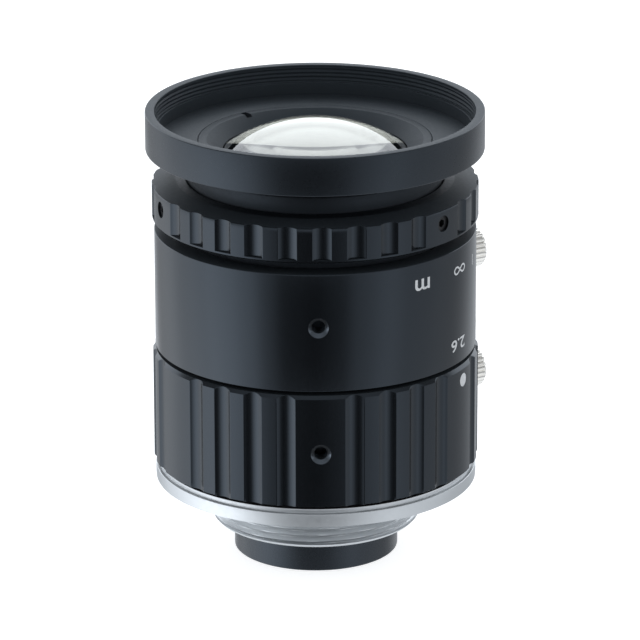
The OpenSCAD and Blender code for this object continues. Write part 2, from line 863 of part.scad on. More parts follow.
rear_barrel();
rear_retaining_ring();
rear_lens();
doublet_rear_lens();
doublet_front_lens();
doublet_retaining_ring();
mount_flange();
main_barrel();
aperture_ring();
aperture_drive_pin();
aperture_lock_screw();
iris_base_plate();
iris_blade_1();
iris_blade_2();
iris_blade_3();
iris_blade_4();
iris_blade_5();
iris_blade_6();
iris_drive_ring();
iris_retaining_ring();
guide_key();
focus_lock_screw();
focus_sleeve();
focus_ring();
focus_set_screws();
lens_carrier();
third_lens();
third_lens_ring();
second_lens();
second_lens_spacer();
front_lens();
front_retaining_ring();
hood();
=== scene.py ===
"""Looks of the machine vision lens, in metres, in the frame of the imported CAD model."""
import bpy, bmesh, math
import numpy as np
from mathutils import Matrix, Vector


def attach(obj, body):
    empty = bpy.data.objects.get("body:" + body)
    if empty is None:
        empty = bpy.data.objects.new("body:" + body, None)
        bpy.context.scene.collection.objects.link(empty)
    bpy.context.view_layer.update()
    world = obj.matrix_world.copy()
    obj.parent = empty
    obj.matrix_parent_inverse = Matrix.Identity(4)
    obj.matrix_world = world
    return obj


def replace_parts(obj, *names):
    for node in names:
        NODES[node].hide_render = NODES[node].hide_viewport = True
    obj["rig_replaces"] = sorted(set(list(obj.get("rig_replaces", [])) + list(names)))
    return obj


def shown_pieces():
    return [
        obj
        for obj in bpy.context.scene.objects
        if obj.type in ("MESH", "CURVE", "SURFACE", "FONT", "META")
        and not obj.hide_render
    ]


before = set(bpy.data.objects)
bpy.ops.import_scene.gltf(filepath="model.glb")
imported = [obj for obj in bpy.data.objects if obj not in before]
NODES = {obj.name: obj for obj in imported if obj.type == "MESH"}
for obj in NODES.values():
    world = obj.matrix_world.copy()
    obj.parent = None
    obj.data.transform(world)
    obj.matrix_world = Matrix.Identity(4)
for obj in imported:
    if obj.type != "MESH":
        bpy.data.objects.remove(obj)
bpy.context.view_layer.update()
MM = 0.001

# ---------------------------------------------------------------- camera
cam_data = bpy.data.cameras.new("camera")
cam_data.sensor_fit = "HORIZONTAL"
cam_data.sensor_width = 36
cam_data.lens = 289.52
cam_data.clip_start = 0.01
camera = bpy.data.objects.new("camera", cam_data)
bpy.context.scene.collection.objects.link(camera)
camera.matrix_world = (Matrix.Translation((0.000546, -0.59482, 0.22211))
                       @ Matrix.Rotation(math.radians(71.238), 4, "X")
                       @ Matrix.Rotation(math.radians(-0.14), 4, "Z"))
bpy.context.scene.camera = camera


# ---------------------------------------------------------------- shapes
def put(name, verts, faces, sharp=30, smooth=True):
    """A mesh object from millimetre points."""
    me = bpy.data.meshes.new(name)
    me.from_pydata([tuple(c * MM for c in v) for v in verts], [], faces)
    me.validate()
    bm = bmesh.new()
    bm.from_mesh(me)
    bmesh.ops.recalc_face_normals(bm, faces=bm.faces)
    bm.to_mesh(me)
    bm.free()
    ob = bpy.data.objects.new(name, me)
    bpy.context.scene.collection.objects.link(ob)
    if smooth:
        me.shade_smooth()
        me.set_sharp_from_angle(angle=math.radians(sharp))
    return ob


def at(az, r, z):
    """A point at an azimuth in degrees from -Y towards +X, a radius and a height."""
    a = math.radians(az)
    return (r * math.sin(a), -r * math.cos(a), z)


def ring(name, rows, n=288, cut=None, sharp=30, angles=None):
    """A closed ring. rows are (r, z) round the section, cut(az, r, z) may move a point."""
    angles = angles if angles is not None else [360 * i / n for i in range(n)]
    n, m = len(angles), len(rows)
    verts, faces = [], []
    for a in angles:
        for r, z in rows:
            if cut:
                r, z = cut(a, r, z)
            verts.append(at(a, r, z))
    for i in range(n):
        j = (i + 1) % n
        for k in range(m):
            l = (k + 1) % m
            faces.append((i * m + k, j * m + k, j * m + l, i * m + l))
    return put(name, verts, faces, sharp)


def disc_solid(name, rows, n=256, sharp=30):
    """A solid of revolution whose section starts and ends on the axis."""
    angles = [360 * i / n for i in range(n)]
    inner = rows[1:-1]
    m = len(inner)
    verts = [(0, 0, rows[0][1]), (0, 0, rows[-1][1])]
    for a in angles:
        verts += [at(a, r, z) for r, z in inner]
    faces = []
    for i in range(n):
        j = (i + 1) % n
        faces.append((0, 2 + j * m, 2 + i * m))
        faces.append((1, 2 + i * m + m - 1, 2 + j * m + m - 1))
        for k in range(m - 1):
            faces.append((2 + i * m + k, 2 + j * m + k, 2 + j * m + k + 1, 2 + i * m + k + 1))
    return put(name, verts, faces, sharp)


def round_corners(pts, radii, n=3):
    """Rounds the corners of a closed section, each by its own radius."""
    out = []
    for i, (p, rad) in enumerate(zip(pts, radii)):
        p = np.array(p, float)
        a = np.array(pts[i - 1], float) - p
        b = np.array(pts[(i + 1) % len(pts)], float) - p
        la, lb = np.linalg.norm(a), np.linalg.norm(b)
        if rad <= 0:
            out.append(tuple(p))
            continue
        c = np.clip(a.dot(b) / la / lb, -1, 1)
        half = math.acos(c) / 2
        t = min(rad / math.tan(half), la * 0.45, lb * 0.45)
        s, e = p + a / la * t, p + b / lb * t
        for k in range(n + 1):
            u = k / n
            out.append(tuple((1 - u) ** 2 * s + 2 * u * (1 - u) * p + u * u * e))
    return out


def line(a, b, n):
    """n points from a towards b, without b itself."""
    return [(a[0] + (b[0] - a[0]) * k / n, a[1] + (b[1] - a[1]) * k / n) for k in range(n)]


def sag(c, r):
    """Depth of a spherical cap of curvature radius c at radius r."""
    return c - math.sqrt(c * c - r * r)


def cut_with(ob, cutters):
    """Takes the cutters off the object, applied to its mesh."""
    for c in cutters:
        m = ob.modifiers.new("cut", "BOOLEAN")
        m.operation = "DIFFERENCE"
        m.solver = "EXACT"
        m.object = c
    bpy.context.view_layer.update()
    deps = bpy.context.evaluated_depsgraph_get()
    me = bpy.data.meshes.new_from_object(ob.evaluated_get(deps))
    ob.modifiers.clear()
    ob.data = me
    me.shade_smooth()
    me.set_sharp_from_angle(angle=math.radians(30))
    for c in cutters:
        bpy.data.objects.remove(c)


def outward(ob, az, z):
    """Turns an object's own axis +Z to point outwards at an azimuth and a height."""
    a = math.radians(az)
    ob.data.transform(Matrix.Translation((0, 0, z * MM)) @ Matrix.Rotation(a - math.pi / 2, 4, "Z")
                      @ Matrix.Rotation(math.pi / 2, 4, "Y"))
    return ob


def pin(name, az, z, rows, n=48):
    """A body of revolution on a radial axis: rows are (distance from the axis, radius out)."""
    return outward(disc_solid(name, rows, n), az, z)


# ---------------------------------------------------------------- sizes, millimetres
AP_Z0, AP_Z1, AP_R = 3.13, 17.15, 19.85
BA_Z0, BA_Z1, BA_R = 17.65, 32.24, 19.55
FO_Z0, FO_Z1, FO_R, SH_Z = 33.74, 38.0, 19.78, 38.57
HO_Z0, HO_Z1, HO_R, FLOOR = 42.2, 46.89, 20.5, 43.2
FLUTE_R, FLUTE_D = 1.94, 0.4
APEX, DOME, HOLLOW, GLASS_R, GLASS_T = 45.34, 19.1, 45, 11.8, 5.6
RIM_R, BOWL_R, NECK_R, NECK_IN, RING_IN = 19.36, 18.96, 15.5, 14.15, 11.2
BOSS_R, BOSS_Z, SEAT_Z, REAR_Z = 16.2, 6.4, 2.85, -8.86
FILTER_Z, FILTER_PITCH, FILTER_DEPTH = 44.75, 0.5, 0.12
MOUNT_R, MOUNT_PITCH, MOUNT_DEPTH, MOUNT_TOP = 12.7, 0.794, 0.42, -0.6
TAP_PITCH, TAP_DEPTH = 0.4, 0.15
PIN_AZ, PIN_SWEEP, PIN_Z, PIN_HALF, KEY_AZ = 200, 48, 13.9, 0.63, 240
KNURLS, KNURL_DEPTH = 24, 0.17
LOCK_AZ, BARREL_HOLE_Z = 121.07, 25.65
RING_LOCK_AZ, RING_HOLE_Z = 121.8, 9.87
BARREL_HOLES = [(LOCK_AZ - 120, BARREL_HOLE_Z), (LOCK_AZ + 120, BARREL_HOLE_Z)]
RING_HOLES = [(RING_LOCK_AZ - 120, RING_HOLE_Z), (RING_LOCK_AZ + 120, RING_HOLE_Z)]
TAP_R, SCREW_BORE, KNOB_R = 0.8, 1.03, 2.52


def flute_depth(az, r_face, centres):
    """Radius of the fluted surface at an azimuth."""
    d0 = r_face + FLUTE_R - FLUTE_D
    best = 1e9
    for c in centres:
        dl = math.radians((az - c + 180) % 360 - 180)
        s = d0 * math.sin(dl)
        if abs(dl) < 0.3 and abs(s) < FLUTE_R:
            best = min(best, d0 * math.cos(dl) - math.sqrt(FLUTE_R ** 2 - s * s))
    return best


def soft_min(a, b, k=0.05):
    """The smaller of two radii, with the edge between them rounded."""
    h = max(k - abs(a - b), 0) / k
    return min(a, b) - h * h * k / 4


def flute_angles(centres, r_face, fine=13, plain=1.5):
    """Columns that follow the flutes' edges."""
    d0 = r_face + FLUTE_R - FLUTE_D
    half = math.degrees(math.acos((r_face ** 2 + d0 ** 2 - FLUTE_R ** 2) / (2 * r_face * d0)))
    centres = sorted(c % 360 for c in centres)
    out = []
    for i, c in enumerate(centres):
        out += [c - half + 2 * half * k / fine for k in range(fine + 1)]
        out += [c - half + d for d in (-0.26, -0.17, -0.09, 0.09, 0.18)]
        out += [c + half + d for d in (-0.18, -0.09, 0.09, 0.17, 0.26)]
        nxt = centres[(i + 1) % len(centres)] + (360 if i + 1 == len(centres) else 0)
        a, b = c + half + 0.26, nxt - half - 0.26
        n = max(1, round((b - a) / plain))
        out += [a + (b - a) * k / n for k in range(1, n)]
    return sorted(set(round(a % 360, 5) for a in out))


# ---------------------------------------------------------------- hood
def thread_in(az, r, z):
    """Filter thread: turns cut outwards into the rim, run out at both ends."""
    if r > 19.7 or z < 44.74 or z > 46.7:
        return r, z
    t = ((z - FILTER_Z) / FILTER_PITCH - az / 360) % 1
    fade = min(1, (46.72 - z) / 0.2, (z - 44.74) / 0.15)
    return r + FILTER_DEPTH * (1 - abs(2 * t - 1)) * max(0, fade), z


outer = round_corners(
    [(NECK_IN, 37.6), (NECK_R, 37.6), (NECK_R, HO_Z0 - 1.45), (HO_R - 0.5, HO_Z0 - 0.1), (HO_R, HO_Z0 + 0.02),
     (HO_R, HO_Z1), (RIM_R, HO_Z1), (RIM_R, FILTER_Z), (BOWL_R, FILTER_Z), (BOWL_R, FLOOR), (NECK_IN, FLOOR)],
    [0, 0, 0.5, 0.1, 0.14, 0.16, 0.14, 0, 0.1, 0, 0.12])
rows = []
for i, p in enumerate(outer):
    q = outer[(i + 1) % len(outer)]
    rows.append(p)
    if abs(p[0] - RIM_R) < 0.01 and abs(q[0] - RIM_R) < 0.01 and p[1] > q[1]:
        rows += [(RIM_R, p[1] + (q[1] - p[1]) * k / 34) for k in range(1, 34)]
    elif abs(p[0] - NECK_R) < 0.01 and abs(q[0] - NECK_R) < 0.01:
        rows += [(NECK_R, p[1] + (q[1] - p[1]) * k / 4) for k in range(1, 4)]
hood = ring("hood_shell", rows, 300, thread_in)
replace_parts(hood, "hood")
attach(hood, "front_group")

# ---------------------------------------------------------------- front ring and glass
RZ = APEX - sag(DOME, RING_IN) + 0.02
rows = round_corners([(RING_IN, RZ), (NECK_IN - 0.02, RZ), (NECK_IN - 0.02, FLOOR + 0.02), (13.1, FLOOR + 0.02),
                      (RING_IN, RZ + 0.15)], [0, 0, 0.15, 0.06, 0.05])
front_ring = ring("front_ring", rows, 240)
slots = []
for s in (0, 180):
    bpy.ops.mesh.primitive_cube_add(size=1)
    c = bpy.context.object
    c.data.transform(Matrix.Rotation(math.radians(39 + s - 90), 4, "Z")
                     @ Matrix.Translation((0.0139, 0, FLOOR * MM + 0.0003))
                     @ Matrix.Diagonal((0.0024, 0.0008, 0.0018, 1)))
    slots.append(c)
cut_with(front_ring, slots)
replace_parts(front_ring, "front_retaining_ring")
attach(front_ring, "front_group")

top = [(GLASS_R * k / 40, APEX - sag(DOME, GLASS_R * k / 40)) for k in range(41)]
bottom = [(GLASS_R * k / 24, APEX - GLASS_T - sag(HOLLOW, GLASS_R * k / 24)) for k in range(24, -1, -1)]
glass = disc_solid("front_glass", top + [(GLASS_R, top[-1][1] - 0.05)] + bottom, 200)
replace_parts(glass, "front_lens")
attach(glass, "front_group")

# ---------------------------------------------------------------- focus ring
FO_CENTRES = [2.4 + 12 * i for i in range(30) if i % 10 != 4]
FLUTE_Z = FO_Z0 + 0.35


def focus_cut(az, r, z):
    if z > FLUTE_Z and r > 18:
        r = soft_min(r, flute_depth(az, FO_R, FO_CENTRES))
    return r, z


lip = 15.75
top_r = FO_R - 0.06
rows = [(16.85, FO_Z0), (FO_R - 0.15, FO_Z0), (FO_R, FO_Z0 + 0.15), (FO_R, FLUTE_Z), (FO_R, FLUTE_Z + 0.002)]
rows += line((FO_R, FLUTE_Z + 0.5), (FO_R, FO_Z1 - 0.06), 5)[1:] + [(FO_R, FO_Z1 - 0.06), (FO_R - 0.02, FO_Z1 - 0.015)]
rows += line((top_r, FO_Z1 + 0.01), (FO_R - 0.75, FO_Z1 + 0.57 * 0.75 / (FO_R - lip)), 14)
rows += line((FO_R - 0.75, FO_Z1 + 0.57 * 0.75 / (FO_R - lip)), (lip + 0.05, SH_Z), 6)
rows += [(lip, SH_Z - 0.04), (lip, FO_Z1 - 0.3), (16.85, FO_Z1 - 0.3)]
focus = ring("focus_grip", rows, cut=focus_cut, angles=flute_angles(FO_CENTRES, FO_R), sharp=24)
SET_SCREW_HOLE = [(0, 15.8), (1, 15.8), (1, 21), (0, 21)]
cut_with(focus, [pin("hole", 50.4 + 120 * i, (FO_Z0 + FO_Z1) / 2 + 0.5, SET_SCREW_HOLE) for i in range(3)])
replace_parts(focus, "focus_ring")
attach(focus, "focus")

# ---------------------------------------------------------------- aperture ring
AP_CENTRES = [1.7 + 60 * k + 12 * j for k in range(6) for j in range(1, 5)]


def aperture_cut(az, r, z):
    if r > 18:
        r = soft_min(r, flute_depth(az, AP_R, AP_CENTRES))
    return r, z


rows = [(17.65, AP_Z0), (AP_R - 0.5, AP_Z0), (AP_R - 0.1, AP_Z0), (AP_R, AP_Z0 + 0.1)]
rows += line((AP_R, AP_Z0 + 0.6), (AP_R, AP_Z1 - 0.38), 8) + [(AP_R, AP_Z1 - 0.38)]
rows += line((AP_R - 0.02, AP_Z1 - 0.36), (AP_R - 0.38, AP_Z1), 8)
rows += [(AP_R - 0.38, AP_Z1), (AP_R - 0.5, AP_Z1), (17.65, AP_Z1)]
aperture = ring("aperture_grip", rows, cut=aperture_cut, angles=flute_angles(AP_CENTRES, AP_R), sharp=24)


def tapped(az, z, r_in, r_face, hole):
    """Cutter of a radial hole: plain for a screw, or with thread turns and a countersink."""
    if hole == SCREW_BORE:
        return pin("hole", az, z, [(0, r_in), (hole, r_in), (hole, r_face + 1), (0, r_face + 1)])
    turns, y = [], r_face - 0.45
    while y > r_in + 0.5:
        turns += [(hole, y), (hole + TAP_DEPTH, y - TAP_PITCH / 2)]
        y -= TAP_PITCH
    rows = [(0, r_in), (hole, r_in), (hole, y)] + turns[::-1] + [(2.25, r_face + 1), (0, r_face + 1)]
    return pin("hole", az, z, rows)


cut_with(aperture, [tapped(a, z, 17, AP_R, TAP_R) for a, z in RING_HOLES]
         + [tapped(RING_LOCK_AZ, RING_HOLE_Z, 17, AP_R, SCREW_BORE)])
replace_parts(aperture, "aperture_ring")
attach(aperture, "aperture")

# ---------------------------------------------------------------- main barrel
rows = round_corners(
    [(17.6, SEAT_Z), (17.6, BA_Z0), (BA_R, BA_Z0), (BA_R, BA_Z1), (16.9, BA_Z1), (16.9, 17.0), (15.9, 17.0),
     (15.9, 10.6), (13.4, 10.6), (13.4, BOSS_Z), (BOSS_R, BOSS_Z), (BOSS_R, SEAT_Z)],
    [0, 0, 0.12, 0.14, 0.12, 0, 0, 0, 0, 0, 0, 0])
barrel = ring("barrel_shell", rows, 288)
bpy.ops.mesh.primitive_cube_add(size=1)
key_cut = bpy.context.object
key_cut.data.transform(Matrix.Rotation(math.radians(KEY_AZ - 90), 4, "Z") @ Matrix.Translation((0.01705, 0, 0.0193))
                       @ Matrix.Diagonal((0.0023, 0.002, 0.0018, 1)))
steps = [PIN_AZ - 3 + (PIN_SWEEP + 6) * k / 12 for k in range(13)]
PZ0, PZ1 = PIN_Z - PIN_HALF, PIN_Z + PIN_HALF
verts, faces = [], []
for a in steps:
    verts += [at(a, 14.9, PZ0), at(a, 18.6, PZ0), at(a, 18.6, PZ1), at(a, 14.9, PZ1)]
for i in range(12):
    for k in range(4):
        faces.append((4 * i + k, 4 * i + 4 + k, 4 * i + 4 + (k + 1) % 4, 4 * i + (k + 1) % 4))
faces += [(3, 2, 1, 0), (48, 49, 50, 51)]
pin_cut = put("pin_cut", verts, faces, smooth=False)
cut_with(barrel, [tapped(a, z, 16, BA_R, TAP_R) for a, z in BARREL_HOLES]
         + [tapped(LOCK_AZ, BARREL_HOLE_Z, 16, BA_R, SCREW_BORE), key_cut, pin_cut])
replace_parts(barrel, "main_barrel")
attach(barrel, "barrel")


# ---------------------------------------------------------------- mount flange with its thread
def mount_cut(az, r, z):
    """Camera thread: turns cut into the plain cylinder, run out at both ends."""
    if abs(r - MOUNT_R) < 0.03 and -4.46 < z < MOUNT_TOP:
        t = (z / MOUNT_PITCH - az / 360) % 1
        fade = min(1, (z + 4.5) / 0.1, (MOUNT_TOP - z) / 0.35)
        r -= MOUNT_DEPTH * (1 - abs(2 * t - 1)) ** 0.9 * max(0, fade)
    return r, z


rows = [(10.1, -4.85), (12.33, -4.85), (12.37, -4.82), (12.69, -4.47)]
rows += line((MOUNT_R, -4.45), (MOUNT_R, MOUNT_TOP), 62) + [(MOUNT_R, MOUNT_TOP), (MOUNT_R, -0.06), (12.76, 0)]
rows += round_corners([(19.65, 0.0), (19.65, 2.15), (19.2, 2.15), (19.2, SEAT_Z)], [0.2, 0.12, 0.03, 0.06])
rows += [(BOSS_R, SEAT_Z), (BOSS_R, BOSS_Z), (13.6, BOSS_Z), (13.6, 0.5), (10.1, 0.5)]
mount = ring("mount_shell", rows, 288, mount_cut)
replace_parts(mount, "mount_flange")
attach(mount, "barrel")

# ---------------------------------------------------------------- rear barrel
rows = round_corners(
    [(8.05, REAR_Z), (10.05, REAR_Z), (10.05, 6.8), (13.35, 6.8), (13.35, 10.4), (9, 10.4), (9, 9.4), (8.45, 9.4),
     (8.45, 2.306), (7.6, 2.306), (7.6, -3.726), (8.05, -3.726)],
    [0.15, 0.2, 0, 0, 0, 0, 0, 0, 0, 0, 0, 0])
rear = ring("rear_shell", rows, 240)
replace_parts(rear, "rear_barrel")
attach(rear, "barrel")


# ---------------------------------------------------------------- lock screws
def screw(name, az, z, r_in, r_head):
    """A lock screw: shank from r_in, knurled head from r_head outwards."""
    n = KNURLS * 10
    end = r_head + 3.6
    prof = [(0, r_in), (1, r_in), (1, r_head), (2.27, r_head), (2.3, r_head + 0.02), (2.5, r_head + 0.25)]
    prof += line((KNOB_R, r_head + 0.3), (KNOB_R, end - 0.3), 6) + [(KNOB_R, end - 0.3), (2.5, end - 0.22)]
    prof += [(2.3, end - 0.03), (2.24, end), (1.2, end), (0, end)]
    verts = [(0, 0, prof[0][1]), (0, 0, prof[-1][1])]
    inner = prof[1:-1]
    m = len(inner)
    for i in range(n):
        a = 360 * i / n
        t = (a * KNURLS / 360) % 1
        for r, y in inner:
            if r > 2.2:
                dip = KNURL_DEPTH * max(0, 1 - (min(t, 1 - t) / 0.32) ** 2)
                r = min(r, KNOB_R - dip)
            verts.append(at(a, r, y))
    faces = []
    for i in range(n):
        j = (i + 1) % n
        faces += [(0, 2 + j * m, 2 + i * m), (1, 2 + i * m + m - 1, 2 + j * m + m - 1)]
        faces += [(2 + i * m + k, 2 + j * m + k, 2 + j * m + k + 1, 2 + i * m + k + 1) for k in range(m - 1)]
    ob = put(name, verts, faces, 28)
    return outward(ob, az, z)


focus_lock = screw("focus_thumbscrew", LOCK_AZ, BARREL_HOLE_Z, 16.95, 19.75)
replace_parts(focus_lock, "focus_lock_screw")
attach(focus_lock, "focus_lock")
aperture_lock = screw("aperture_thumbscrew", RING_LOCK_AZ, RING_HOLE_Z, 17.7, 20.0)
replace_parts(aperture_lock, "aperture_lock_screw")
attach(aperture_lock, "aperture_lock")


# ---------------------------------------------------------------- materials
def tree(name):
    m = bpy.data.materials.new(name)
    m.use_nodes = True
    nt = m.node_tree
    nt.nodes.clear()
    out = nt.nodes.new("ShaderNodeOutputMaterial")
    bsdf = nt.nodes.new("ShaderNodeBsdfPrincipled")
    nt.links.new(bsdf.outputs[0], out.inputs[0])
    return m, nt, bsdf


def noise(nt, coords, scale, detail=3.0, rough=0.5):
    n = nt.nodes.new("ShaderNodeTexNoise")
    n.inputs["Scale"].default_value = scale
    n.inputs["Detail"].default_value = detail
    n.inputs["Roughness"].default_value = rough
    nt.links.new(coords, n.inputs["Vector"])
    return n.outputs["Fac"]


def stretch(nt, coords, s):
    v = nt.nodes.new("ShaderNodeMapping")
    v.vector_type = "POINT"
    v.inputs["Scale"].default_value = s
    nt.links.new(coords, v.inputs["Vector"])
    return v.outputs[0]


def span(nt, value, lo, hi, a=0.3, b=0.7):
    r = nt.nodes.new("ShaderNodeMapRange")
    r.inputs["From Min"].default_value = a
    r.inputs["From Max"].default_value = b
    r.inputs["To Min"].default_value = lo
    r.inputs["To Max"].default_value = hi
    nt.links.new(value, r.inputs["Value"])
    return r.outputs[0]


def mix(nt, fac, a, b):
    m = nt.nodes.new("ShaderNodeMix")
    m.data_type = "RGBA"
    m.inputs["A"].default_value = (*a, 1)
    m.inputs["B"].default_value = (*b, 1)
    nt.links.new(fac, m.inputs["Factor"])
    return m.outputs["Result"]


def bump(nt, bsdf, height, strength, distance):
    b = nt.nodes.new("ShaderNodeBump")
    b.inputs["Strength"].default_value = strength
    b.inputs["Distance"].default_value = distance
    nt.links.new(height, b.inputs["Height"])
    nt.links.new(b.outputs[0], bsdf.inputs["Normal"])


def coat_metal(name, dark, light, rough, metallic=0.0, grain=2600, turned=0.0, ior=1.5, spec=0.5, strength=0.1,
               tint=None):
    """A surface finish: fine grain, slow drift of tone and roughness, optional turning lines."""
    m, nt, bsdf = tree(name)
    co = nt.nodes.new("ShaderNodeTexCoord").outputs["Object"]
    slow = noise(nt, co, 90, 4)
    fine = noise(nt, co, grain, 2, 0.6)
    nt.links.new(mix(nt, span(nt, slow, 0, 1), dark, light), bsdf.inputs["Base Color"])
    nt.links.new(span(nt, fine, rough[0], rough[1]), bsdf.inputs["Roughness"])
    bsdf.inputs["Metallic"].default_value = metallic
    bsdf.inputs["IOR"].default_value = ior
    bsdf.inputs["Specular IOR Level"].default_value = spec
    if tint:
        bsdf.inputs["Specular Tint"].default_value = (*tint, 1)
    height = fine
    if turned:
        lines = noise(nt, stretch(nt, co, (25, 25, 9000)), 1, 2)
        add = nt.nodes.new("ShaderNodeMath")
        add.operation = "MULTIPLY_ADD"
        add.inputs[1].default_value = turned
        nt.links.new(lines, add.inputs[0])
        nt.links.new(fine, add.inputs[2])
        height = add.outputs[0]
    bump(nt, bsdf, height, strength, 0.00002)
    return m


BLUISH = (0.72, 0.85, 1.0)


def anodise(name, dark, light, rough, **more):
    return coat_metal("black_anodised" + name, dark, light, rough, tint=BLUISH, **more)


anodised = anodise("", (0.0010, 0.0011, 0.0013), (0.0018, 0.0019, 0.0022), (0.18, 0.22), strength=0.01)
anodised_in = anodise("_inner", (0.002, 0.0021, 0.0024), (0.004, 0.0042, 0.0048), (0.38, 0.5), strength=0.03)
# A lighter, less glossy black for the hood bowl, the front ring and every face that looks up. On the faces that look
# up, its lighter tone is painted light from above.
bowl_painted_light_black = anodise("_bowl_painted_light", (0.028, 0.0332, 0.038), (0.033, 0.039, 0.0445), (0.46, 0.52), turned=0.4, spec=0.17,
                     strength=0.005)
hood_black = anodise("_hood", (0.0014, 0.0016, 0.0019), (0.0022, 0.0024, 0.0028), (0.27, 0.31), strength=0.01)
cut_black = anodise("_cut", (0.012, 0.0128, 0.0135), (0.03, 0.032, 0.034), (0.14, 0.2), ior=1.9, strength=0.01)
rear_black = anodise("_rear", (0.005, 0.0054, 0.0062), (0.0065, 0.007, 0.008), (0.26, 0.3), strength=0.01)
satin = coat_metal("satin_metal", (0.535, 0.55, 0.56), (0.595, 0.61, 0.62), (0.38, 0.44), 1.0, grain=1800, turned=0.6,
                   strength=0.004)
nickel = coat_metal("nickel", (0.77, 0.74, 0.69), (0.83, 0.80, 0.75), (0.24, 0.3), 1.0, grain=2200, strength=0.01)
steel = coat_metal("blued_steel", (0.05, 0.052, 0.058), (0.085, 0.088, 0.095), (0.25, 0.4), 1.0)
screw_black = coat_metal("black_oxide", (0.012, 0.012, 0.013), (0.02, 0.02, 0.022), (0.3, 0.45), 0.6)


def glass_like(name, tint, coat, ior):
    """Clear glass with a thin tinted coat."""
    m, nt, bsdf = tree(name)
    co = nt.nodes.new("ShaderNodeTexCoord").outputs["Object"]
    drift = noise(nt, co, 40, 2)
    lighter = tuple(min(1, c * 1.02) for c in tint)
    nt.links.new(mix(nt, span(nt, drift, 0, 1), tint, lighter), bsdf.inputs["Base Color"])
    nt.links.new(span(nt, drift, 0.0, 0.004), bsdf.inputs["Roughness"])
    bsdf.inputs["Transmission Weight"].default_value = 1.0
    bsdf.inputs["IOR"].default_value = ior
    bsdf.inputs["Coat Weight"].default_value = 0.1
    bsdf.inputs["Coat Tint"].default_value = (*coat, 1)
    bsdf.inputs["Coat Roughness"].default_value = 0.01
    return m


glass_mat = glass_like("coated_glass", (0.46, 0.455, 0.40), (0.95, 0.98, 1.0), 1.75)
inner_glass = glass_like("coated_glass_inner", (0.99, 0.975, 0.9), (1.0, 0.95, 0.82), 1.18)

ink_mat, nt, bsdf = tree("print_ink")
co = nt.nodes.new("ShaderNodeTexCoord").outputs["Object"]
spread = noise(nt, co, 3500, 3)
ink = mix(nt, span(nt, spread, 0, 1), (0.42, 0.43, 0.44), (0.5, 0.51, 0.52))
nt.links.new(ink, bsdf.inputs["Base Color"])
nt.links.new(span(nt, spread, 0.5, 0.65), bsdf.inputs["Roughness"])
bump(nt, bsdf, spread, 0.1, 0.00001)


def paint(ob, mat):
    ob.data.materials.clear()
    ob.data.materials.append(mat)


for ob in (focus, aperture, barrel):
    paint(ob, anodised)
paint(hood, hood_black)
paint(rear, rear_black)
hood.data.materials.append(anodised_in)
hood.data.materials.append(bowl_painted_light_black)
for f in hood.data.polygons:
    r, z = math.hypot(f.center.x, f.center.y), f.center.z
    if r < 0.0157 and z < 0.043:
        f.material_index = 1
    # The hood bowl and the faces that look up get the lighter black. On the upward faces this is painted light from
    # above.
    elif z > 0.0431 and (r < 0.0196 or f.normal.z > 0.9):
        f.material_index = 2
for ob, r_in, face, spots in ((focus, 0.0170, 0, ()), (barrel, 0.0170, BA_R * MM, BARREL_HOLES),
                              (aperture, 0.0, AP_R * MM, RING_HOLES)):
    for mat in (anodised_in, bowl_painted_light_black, cut_black):
        ob.data.materials.append(mat)
    for f in ob.data.polygons:
        x, y, z = f.center
        if math.hypot(x, y) < r_in:
            f.material_index = 1
        # Faces that look up get the lighter black: painted light from above.
        elif f.normal.z > 0.9:
            f.material_index = 2
        for az, hz in spots:
            a = math.radians(az)
            off = math.hypot(x * math.cos(a) + y * math.sin(a), z - hz * MM)
            if off < 0.00123 and math.hypot(x, y) < face - 0.00004:
                f.material_index = 3
# The front ring in the bowl's lighter black. On its upward face this tone is painted light from above.
paint(front_ring, bowl_painted_light_black)
paint(mount, satin)
paint(glass, glass_mat)
for ob in (focus_lock, aperture_lock):
    paint(ob, nickel)
hidden = {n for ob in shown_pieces() for n in list(ob.get("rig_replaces", []))}
GLASS = {"rear_lens", "doublet_rear_lens", "doublet_front_lens", "third_lens", "second_lens"}
for n, ob in NODES.items():
    if n in hidden:
        continue
    ob.data.shade_smooth()
    ob.data.set_sharp_from_angle(angle=math.radians(30))
    if n in GLASS:
        mat = inner_glass
    elif n.startswith("iris_blade") or n in ("iris_drive_ring", "guide_key", "aperture_drive_pin"):
        mat = steel
    elif n == "focus_set_screws":
        mat = screw_black
    else:
        mat = anodised_in
    if not len(ob.data.materials):
        ob.data.materials.append(mat)
    for i in range(len(ob.data.materials)):
        ob.data.materials[i] = mat


# ---------------------------------------------------------------- print
def wrapped_text(name, text, az, z, r, height, width=None):
    """White figures, upside down, laid round the cylinder."""
    cu = bpy.data.curves.new(name, "FONT")
    cu.body = text
    cu.size = 1
    cu.resolution_u = 6
    cu.offset = 0.012
    ob = bpy.data.objects.new(name, cu)
    bpy.context.scene.collection.objects.link(ob)
    bpy.context.view_layer.update()
    me = bpy.data.meshes.new_from_object(ob.evaluated_get(bpy.context.evaluated_depsgraph_get()))
    bpy.data.objects.remove(ob)
    return wrap(name, me, az, z, r, height, width)


